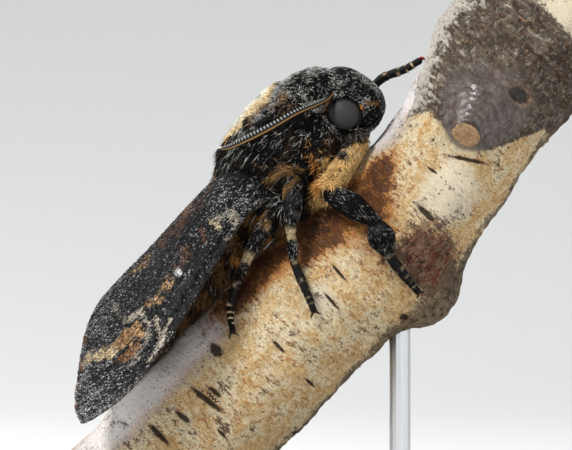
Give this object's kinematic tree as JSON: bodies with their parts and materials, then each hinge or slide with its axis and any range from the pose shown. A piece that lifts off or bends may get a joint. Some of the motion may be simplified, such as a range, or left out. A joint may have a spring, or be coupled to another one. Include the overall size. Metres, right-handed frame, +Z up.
{
  "type": "deaths head hawkmoth",
  "caption": "Life-size still model of a death's head hawkmoth gripping a cut branch perch, wings roofed over its back, on a plain display stand.",
  "frame": {"origin": "centre of the stand base's underside", "axes": "+Z up, square to the base; the moth faces +X and upwards along its branch; its right side faces -Y"},
  "size_m": [0.09, 0.06, 0.1053],
  "materials": {
    "black_fur": "dense short black fur with pale tips",
    "banded_fur": "yellow-brown and black banded fur",
    "eye": "dark facetted eye with a soft shine",
    "feeler": "black with fine pale ridges",
    "forewing": "black scales dusted white, with cream and orange marks",
    "hindwing": "ochre-yellow scales with dark bands",
    "orange_fur": "orange and cream hair",
    "leg": "black hair dusted grey",
    "foot": "black with cream rings, reddish claws",
    "bark": "birch bark, cream and tan with rust stains and dark flecks",
    "base_paint": "satin dark grey paint",
    "rod_steel": "brushed"
  },
  "bodies": {
    "root": {"abdomen_base": "banded_fur", "abdomen_middle": "banded_fur", "abdomen_tip": "banded_fur", "antenna_left": "feeler", "antenna_right": "feeler", "collar": "black_fur", "eye_left": "eye", "eye_right": "eye", "foreleg_left_coxa": "orange_fur", "foreleg_left_femur": "leg", "foreleg_left_tarsus": "foot", "foreleg_left_tibia": "leg", "foreleg_right_coxa": "orange_fur", "foreleg_right_femur": "leg", "foreleg_right_tarsus": "foot", "foreleg_right_tibia": "leg", "forewing_left": "forewing", "forewing_right": "forewing", "head": "black_fur", "hindleg_left_femur": "leg", "hindleg_left_tarsus": "foot", "hindleg_left_tibia": "leg", "hindleg_right_femur": "leg", "hindleg_right_tarsus": "foot", "hindleg_right_tibia": "leg", "hindwing_left": "hindwing", "hindwing_right": "hindwing", "midleg_left_femur": "leg", "midleg_left_tarsus": "foot", "midleg_left_tibia": "leg", "midleg_right_femur": "leg", "midleg_right_tarsus": "foot", "midleg_right_tibia": "leg", "palp_left": "black_fur", "palp_right": "black_fur", "perch_branch": "bark", "proboscis": "feeler", "stand_base": "base_paint", "stand_rod_high": "rod_steel", "stand_rod_low": "rod_steel", "thorax": "black_fur"}
  },
  "joints": []
}
